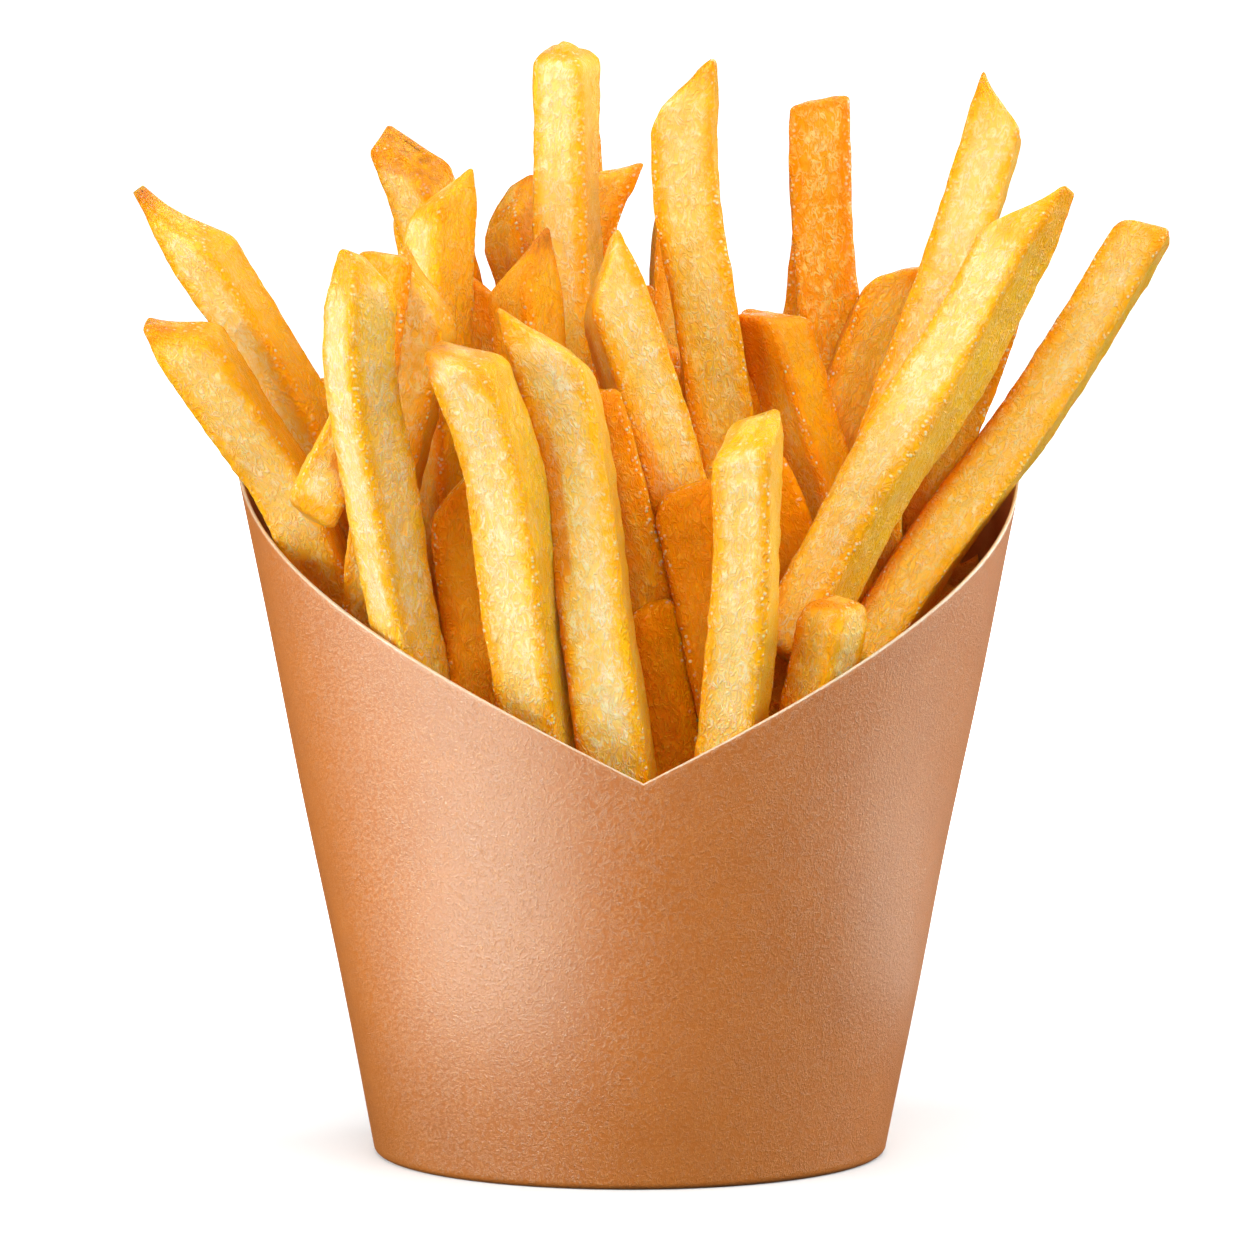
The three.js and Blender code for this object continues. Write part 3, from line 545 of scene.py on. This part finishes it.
    # the oiled crust glints gold, and light that has passed through the potato comes out warm
    shader = addNode(tree, "ShaderNodeBsdfPrincipled", {
        "IOR": 1.45, "Specular IOR Level": 0.28, "Specular Tint": (1.0, 0.82, 0.35, 1.0),
        "Subsurface Weight": 0.6, "Subsurface Radius": (1.0, 0.4, 0.1),
        "Subsurface Scale": potato["glow"] * mm},
        {"Base Color": colour, "Roughness": gloss, "Normal": bump})
    addNode(tree, "ShaderNodeOutputMaterial", None, {"Surface": shader})
    return material


print("fries")
seed = 11
toneSpan = (0.1, 0.5)     # how fried those without a tone of their own may be
fries = []
for number, fry in enumerate(shownFries + ringFries):
    shown = "at" in fry
    rng = np.random.default_rng(seed + number)
    fry.setdefault("tone", round(float(rng.uniform(*toneSpan)), 2))
    fry["seed"] = seed + 10 * number
    fry["fine"] = (100, 48) if shown else (56, 32)     # rings and spokes
    fries.append(plainFry | fry)

# how far into the heap each place lies: the share of short rays that hit another fry or the cup,
# painted into the fries' colour as shade
print("shade in the heap")
shadeRays = dict(count=26, reach=45, clear=0.5, spread=0.92, goldenAngle=2.39996,     # mm, radians
                 rings=12, spokes=16, wallSteps=36, wallFoot=10)
coarse = [fryMesh(fry, fry["seed"], shadeRays["rings"], shadeRays["spokes"]) for fry in fries]
wallSteps = shadeRays["wallSteps"]
turns = np.arange(wallSteps) * 360 / wallSteps
inside = [onCone(turns, coneRadius(height) - cup["board"], height)
          for height in (shadeRays["wallFoot"], rimHeight(turns))]
points, faces = joined(coarse + [dict(points=np.vstack(inside), faces=ringFaces(2, wallSteps))])
heap = BVHTree.FromPolygons(points.tolist(), faces)
# the rays fill a bowl evenly by the golden angle, and the upright ones count most
spin = np.arange(shadeRays["count"]) + 0.5
lift = 1 - spin / shadeRays["count"] * shadeRays["spread"]
spin = spin * shadeRays["goldenAngle"]
bowl = np.stack([np.sqrt(1 - lift ** 2) * np.cos(spin), np.sqrt(1 - lift ** 2) * np.sin(spin), lift], 1)
bowlWeight = lift / lift.sum()


def shadeOf(points, outward):
    shade = np.zeros(len(points))
    for k, (point, out) in enumerate(zip(points, outward)):
        normal = Vector(out)
        around = normal.to_track_quat("Z", "Y").to_matrix()
        start = Vector(point) + normal * shadeRays["clear"]
        hits = 0
        for ray, weight in zip(bowl, bowlWeight):
            if heap.ray_cast(start, around @ Vector(ray), shadeRays["reach"])[0] is not None:
                hits += weight
        shade[k] = hits
    return shade


kinds = dict(pale=[], golden=[], amber=[])
goldenFrom, amberFrom = 0.28, 0.58     # the tones where one kind ends and the next begins
coarseSpokes = shadeRays["spokes"]
for fry, stick in zip(fries, coarse):
    shade = shadeOf(stick["points"], stick["outward"]).reshape(-1, coarseSpokes)
    rings, spokes = fry["fine"]
    fine = fryMesh(fry, fry["seed"], rings, spokes)
    # carry the coarse shade over to the fine rings: both start with the same 11 rings at the tip
    coarseRings, fineRings = shade.shape[0], len(fine["points"]) // spokes
    fineAt = np.concatenate([np.arange(11), np.linspace(10, coarseRings - 1, fineRings - 10)[1:]])
    wrap = np.concatenate([shade, shade[:, :1]], 1)
    across = np.arange(spokes) / spokes * coarseSpokes
    rows = np.stack([np.interp(across, np.arange(coarseSpokes + 1), row) for row in wrap])
    grid = np.stack([np.interp(fineAt, np.arange(coarseRings), rows[:, k]) for k in range(spokes)], 1)
    fine["marks"]["fryDeep"] = grid.ravel()
    kind = "pale" if fry["tone"] < goldenFrom else "golden" if fry["tone"] < amberFrom else "amber"
    kinds[kind].append(fine)

gloss = dict(pale=(0.42, 0.28), golden=(0.39, 0.26), amber=(0.36, 0.24))     # floury, then crust
for kind, sticks in kinds.items():
    points, faces = joined(sticks)
    marks = {mark: np.concatenate([stick["marks"][mark] for stick in sticks])
             for mark in sticks[0]["marks"]}
    piece = meshPiece(kind + "_fries", points, faces, marks,
                      friedPotato(kind + " fried potato", *gloss[kind]))
    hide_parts("fries")
    print("    triangles", sum(len(face) - 2 for face in faces))


print("heap core")
core = dict(foot=8.8, front=46, middle=80, climbFrom=-34, climbTo=4, gap=1.2, mid=70,     # mm
            lump=(2.4, 9), knob=(0.8, 3), rings=36, spokes=120)


def coreHeight(x, y):
    back = smoothStep(y, core["climbFrom"], core["climbTo"])
    places = np.stack([x, y, 0 * x], 1)
    (lumpHigh, lumpWide), (knobHigh, knobWide) = core["lump"], core["knob"]
    lumps = lumpHigh * ripple(places, lumpWide, 71) + knobHigh * ripple(places, knobWide, 72)
    return core["front"] + (core["middle"] - core["front"]) * back + lumps


def coreMesh():
    # rings from the middle of the top out to the cup, then down its side and back in under it
    degrees = np.arange(core["spokes"]) * 360 / core["spokes"]
    shares = np.linspace(0.02, 1, core["rings"])
    gap = core["gap"]     # between the core and the outside of the cup
    rows = []
    for share in shares:
        guess = onCone(degrees, share * (coneRadius(core["mid"]) - gap), 0 * degrees)
        height = coreHeight(guess[:, 0], guess[:, 1])
        rows.append(onCone(degrees, share * (coneRadius(height) - gap), height))
    for share in (1, 0.6, 0.02):
        rows.append(onCone(degrees, share * (coneRadius(core["foot"]) - gap), core["foot"]))
    points = np.vstack(rows)
    spokes = core["spokes"]
    faces = [tuple(range(spokes))] + [(a, d, c, b) for a, b, c, d in ringFaces(len(rows), spokes)]
    faces.append(tuple(range(len(points) - spokes, len(points)))[::-1])
    flat = np.ones(len(points))
    # the core is painted with near-full shade all over, as if it lay far inside the heap
    marks = dict(fryPlace=points, fryEdge=2 * flat, fryWarm=0.6 * flat, fryPale=0.2 * flat,
                 fryBrown=0 * flat, fryDeep=0.95 * flat, fryFleck=0.2 * flat)
    return points, faces, marks


piece = meshPiece("heap_core", *coreMesh(), friedPotato("fried potato in the heap", 0.5, 0.4))
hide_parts("fries")


print("cup")


def seamRise(degrees):
    before = cup["seam"] - degrees
    rise = 1 - smoothStep(before, cup["lap"], cup["lap"] + cup["ease"])
    return cup["board"] * np.where(before < 0, 0, rise)


def kraftBoard(name, paper):
    # unbleached kraft board, calendered smooth: a soft satin sheen over short matted wood fibres
    material = bpy.data.materials.new(name)
    material.use_nodes = True
    tree = material.node_tree
    tree.nodes.clear()
    place = addNode(tree, "ShaderNodeTexCoord").outputs["Object"]
    cut = addNode(tree, "ShaderNodeAttribute", dict(attribute_name="boardCut")).outputs["Fac"]
    clouds = addNode(tree, "ShaderNodeTexNoise", dict(Scale=1 / (paper["cloud"] * mm), Detail=3.0),
                     dict(Vector=place))
    matting = addNode(tree, "ShaderNodeTexNoise", dict(Scale=1 / (paper["mat"] * mm), Detail=3.0,
                      Roughness=0.65), dict(Vector=place))
    colour = addNode(tree, "ShaderNodeMapRange", {1: 0.3, 2: 0.7, 3: 0.0, 4: 0.35}, {0: clouds})
    colour = addNode(tree, "ShaderNodeMix", {"data_type": "RGBA", 6: toLinear(paper["base"]),
                     7: toLinear(paper["dark"])}, {0: colour}).outputs[2]
    share = addNode(tree, "ShaderNodeMapRange", {1: 0.35, 2: 0.7, 3: 0.0, 4: 0.35}, {0: matting})
    colour = addNode(tree, "ShaderNodeMix", {"data_type": "RGBA", 7: toLinear(paper["light"])},
                     {0: share, 6: colour}).outputs[2]
    # two mats of fibres, one light and one dark, drawn some three times as wide as real pulp to show
    height = matting
    for tint, lean, show in (("light", 0.6, 0.75), ("dark", -0.8, 0.75)):
        laid = addNode(tree, "ShaderNodeMapping", dict(Rotation=(0, lean, 0), Scale=(1, 1, 0.45)),
                       dict(Vector=place))
        fibres = addNode(tree, "ShaderNodeTexNoise", dict(Scale=1 / (paper["fibre"] * mm), Detail=1.5,
                         Distortion=1.5), dict(Vector=laid))
        offLine = addNode(tree, "ShaderNodeMath", {"operation": "SUBTRACT", 1: 0.5}, {0: fibres})
        offLine = addNode(tree, "ShaderNodeMath", dict(operation="ABSOLUTE"), {0: offLine})
        line = addNode(tree, "ShaderNodeMapRange", {1: 0.01, 2: 0.06, 3: show, 4: 0.0}, {0: offLine})
        broken = addNode(tree, "ShaderNodeMapRange", {1: 0.42, 2: 0.58}, {0: matting})
        line = addNode(tree, "ShaderNodeMath", dict(operation="MULTIPLY"), {0: line, 1: broken})
        colour = addNode(tree, "ShaderNodeMix", {"data_type": "RGBA", 7: toLinear(paper[tint])},
                         {0: line, 6: colour}).outputs[2]
        height = addNode(tree, "ShaderNodeMath", dict(operation="ADD"), {0: height, 1: line})
    # the cut edge is pale board, and over the rim it is painted paler still as the highlight along the
    # rim top
    colour = addNode(tree, "ShaderNodeMix", {"data_type": "RGBA", 7: toLinear(paper["cut"])},
                     {0: cut, 6: colour}).outputs[2]
    bump = addNode(tree, "ShaderNodeBump", dict(Strength=0.37, Distance=paper["relief"] * mm),
                   dict(Height=height))
    # paper starts at IOR 1.5; the pressed face needs 1.95 for its strong, even sheen, tinted cool so
    # that it reads neutral over the orange board
    shader = addNode(tree, "ShaderNodeBsdfPrincipled", {
        "Roughness": 0.36, "IOR": 1.95, "Specular IOR Level": 1.0,
        "Specular Tint": (0.55, 1.0, 1.0, 1.0)}, {"Base Color": colour, "Normal": bump})
    addNode(tree, "ShaderNodeOutputMaterial", None, {"Surface": shader})
    return material


def wallMesh():
    seamEdge = 0.2     # degrees either side of the lap's cut edge
    degrees = np.sort(np.concatenate([np.arange(0, 360, cup["step"]) + cup["turn"],
                                      [cup["seam"] - seamEdge, cup["seam"] + seamEdge]]))
    board, hemOuter = cup["board"], cup["board"] + cup["slot"]
    hemInner = hemOuter + board
    top = rimHeight(degrees)
    rise = seamRise(degrees)
    # (share of the way up, mm inward from the outside, cut edge, mm off the table): the folded foot,
    # up the outside, over the rim and back down
    rows = [(0.0, hemInner, 0, 0), (0.0, hemInner - 0.3, 0, 0)]
    for bend in np.radians([0, 20, 40, 60, 80]):
        rows.append((0.0, cup["fold"] * (1 - np.sin(bend)), 0, cup["fold"] * (1 - np.cos(bend))))
    rows += [(q, 0.0, 0) for q in np.linspace(0.016, 0.985, 44)]
    # over the rim the cut mark paints the edge pale, partly the board's cut fibre and partly a painted
    # highlight
    rows += [(0.995, 0.0, 0), (0.9985, 0.05, 0.6), (1.0, 0.18, 1), (1.0, 0.42, 1), (0.9985, 0.55, 0.6)]
    rows += [(q, board, 0.3) for q in np.linspace(0.99, 0.03, 24)]     # the inside is left uncoated
    points, marks = [], []
    for share, inward, cut, *lift in rows:
        height = top * share + sum(lift)
        outer = rise * (1 - np.clip(inward / board, 0, 1))
        waves = onCone(degrees, coneRadius(height), height)
        wander = cup["wander"] * ripple(waves, cup["wanderSize"], 91) * np.clip(height / 12, 0, 1)
        radius = coneRadius(height) - inward + outer + wander
        points.append(onCone(degrees, radius, height))
        marks.append(np.full(len(degrees), float(cut)))
    for inward, height in ((board, board), (hemOuter, board), (hemOuter, cup["hem"]),
                           (hemInner, cup["hem"])):
        points.append(onCone(degrees, coneRadius(height) - inward, height + 0 * degrees))
        marks.append(np.zeros(len(degrees)))
    count, spokes = len(points), len(degrees)
    # the last ring joins the first, so the wall is closed all round its section
    faces = [tuple(k % (count * spokes) for k in face) for face in ringFaces(count + 1, spokes)]
    return np.vstack(points), faces, dict(boardCut=np.concatenate(marks))


piece = meshPiece("paper_cup", *wallMesh(), kraftBoard("calendered kraft board", dict(
    base="#d47416", dark="#bc600e", light="#e4923a", cut="#e6bd92",
    cloud=9, mat=0.5, fibre=0.42, relief=0.12)))     # sizes in mm
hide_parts("cup_wall")
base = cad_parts["cup_base"]
base.data.materials.clear()
base.data.materials.append(kraftBoard("uncoated kraft base board", dict(
    base="#a8622e", dark="#965222", light="#bc7844", cut="#f1d3b0",
    cloud=6, mat=0.8, fibre=0.8, relief=0.12)))

print("stage")
# eye in mm from the cup's axis at the table, down in degrees, lens and sensor in mm, reach in metres
view = dict(eye=(-0.4, -1086.5, 172.1), down=5.15, lens=222.8, sensor=36, reach=60)
lens = bpy.data.cameras.new("camera")
lens.lens = view["lens"]
lens.sensor_width = view["sensor"]
lens.clip_end = view["reach"]
camera = bpy.data.objects.new("camera", lens)
eyeX, eyeY, eyeZ = view["eye"]
camera.location = (axisX + eyeX * mm, axisY + eyeY * mm, eyeZ * mm)
camera.rotation_euler = (radians(90 - view["down"]), 0, 0)
bpy.context.scene.collection.objects.link(camera)
bpy.context.scene.camera = camera

# a lit table, in metres: its glow grows away from a point just right of the cup's foot, so it is white
# far off; the dim glow near the foot paints part of the short shadow, and the lamps cast the rest
table = dict(side=25, near=-8, far=40, grey="#e1e1e1", shadow=(0.04, 0, 0), shadowTo=0.03, litFrom=0.5,
             dimGlow=0.05, fullGlow=1.3)
floorMesh = bpy.data.meshes.new("floor")
floorMesh.from_pydata([(-table["side"], table["near"], 0), (table["side"], table["near"], 0),
                       (table["side"], table["far"], 0), (-table["side"], table["far"], 0)],
                      [], [(0, 1, 2, 3)])
floor = bpy.data.objects.new("floor", floorMesh)
bpy.context.scene.collection.objects.link(floor)
# cast white acrylic, sanded matt: it spreads the light under it evenly and mirrors nothing
acrylic = bpy.data.materials.new("white acrylic light table")
acrylic.use_nodes = True
sheet = acrylic.node_tree
sheet.nodes.clear()
place = addNode(sheet, "ShaderNodeTexCoord").outputs["Object"]
fromPaintedShadow = addNode(sheet, "ShaderNodeVectorMath", {"operation": "DISTANCE", 1: table["shadow"]},
                   {0: place})
glow = addNode(sheet, "ShaderNodeMapRange", {1: table["shadowTo"], 2: table["litFrom"],
               3: table["dimGlow"], 4: table["fullGlow"]}, {0: fromPaintedShadow.outputs["Value"]})
shader = addNode(sheet, "ShaderNodeBsdfPrincipled", {
    "Base Color": toLinear(table["grey"]), "Roughness": 0.9, "Emission Color": (1, 1, 1, 1)},
    {"Emission Strength": glow})
addNode(sheet, "ShaderNodeOutputMaterial", None, {"Surface": shader})
floorMesh.materials.append(acrylic)
floor.visible_diffuse = False     # the table's own light doesn't flatten the cup; the lamps light it
floor.visible_glossy = False

world = bpy.data.worlds.new("studio")
bpy.context.scene.world = world
world.use_nodes = True
sky = world.node_tree     # a faint white tent above the table, dimmer below it
sky.nodes.clear()
upward = addNode(sky, "ShaderNodeSeparateXYZ", None, {0: addNode(sky, "ShaderNodeTexCoord")})
tent = addNode(sky, "ShaderNodeMapRange", {1: -0.15, 2: 0.1, 3: 0.03, 4: 0.06},
               {0: upward.outputs[2]})
cloth = addNode(sky, "ShaderNodeBackground", {"Color": (1, 1, 1, 1)}, {"Strength": tent})
addNode(sky, "ShaderNodeOutputWorld", None, {"Surface": cloth})

# soft boxes round the cup and three white cards on the table: angle in degrees from the front
# toward +X, the rest in metres; glow is how bright the panel's face is
lamps = dict(
    leftBack=dict(angle=-85, far=1.0, height=0.35, wide=0.6, tall=0.7, glow=3.75),
    left=dict(angle=-55, far=1.0, height=0.35, wide=0.6, tall=0.7, glow=2.2),
    leftLow=dict(angle=-55, far=1.0, height=0.13, wide=0.8, tall=0.3, glow=5.6),
    front=dict(angle=0, far=1.4, height=1.1, wide=0.8, tall=0.6, glow=7.4),
    rightFront=dict(angle=40, far=1.0, height=0.6, wide=0.6, tall=0.7, glow=4.4),
    right=dict(angle=80, far=1.0, height=0.35, wide=0.6, tall=0.7, glow=2.7),
    rightBack=dict(angle=120, far=1.0, height=0.35, wide=0.6, tall=0.7, glow=6.4),
    top=dict(angle=-5, far=0.5, height=1.0, wide=1.0, tall=0.8, glow=1.5),
    topBack=dict(angle=180, far=0.4, height=1.0, wide=1.0, tall=0.8, glow=1.8),
    back=dict(angle=170, far=1.2, height=0.5, wide=0.8, tall=0.6, glow=1.5),
    card=dict(angle=-70, far=0.4, height=0.004, wide=0.25, tall=0.4, glow=1.1, flat=True),
    nearCard=dict(angle=-45, far=0.14, height=0.004, wide=0.1, tall=0.12, glow=1.6, flat=True),
    rightCard=dict(angle=100, far=0.14, height=0.004, wide=0.1, tall=0.12, glow=0.95, flat=True))
cupMiddle = Vector((0, 0, 0.09))     # where the boxes point
for name, panel in lamps.items():
    light = bpy.data.lights.new(name, "AREA")
    light.shape = "RECTANGLE"
    light.size = panel["wide"]
    light.size_y = panel["tall"]
    light.energy = panel["glow"] * np.pi * panel["wide"] * panel["tall"]
    lamp = bpy.data.objects.new(name, light)
    angle = radians(panel["angle"])
    lamp.location = (panel["far"] * np.sin(angle), -panel["far"] * np.cos(angle), panel["height"])
    if panel.get("flat"):
        lamp.rotation_euler = (np.pi, 0, angle)     # lies on the table, shining up
    else:
        lamp.rotation_euler = (cupMiddle - lamp.location).to_track_quat("-Z", "Y").to_euler()
    lamp.visible_camera = False
    bpy.context.scene.collection.objects.link(lamp)
bpy.context.scene.view_settings.view_transform = "Standard"
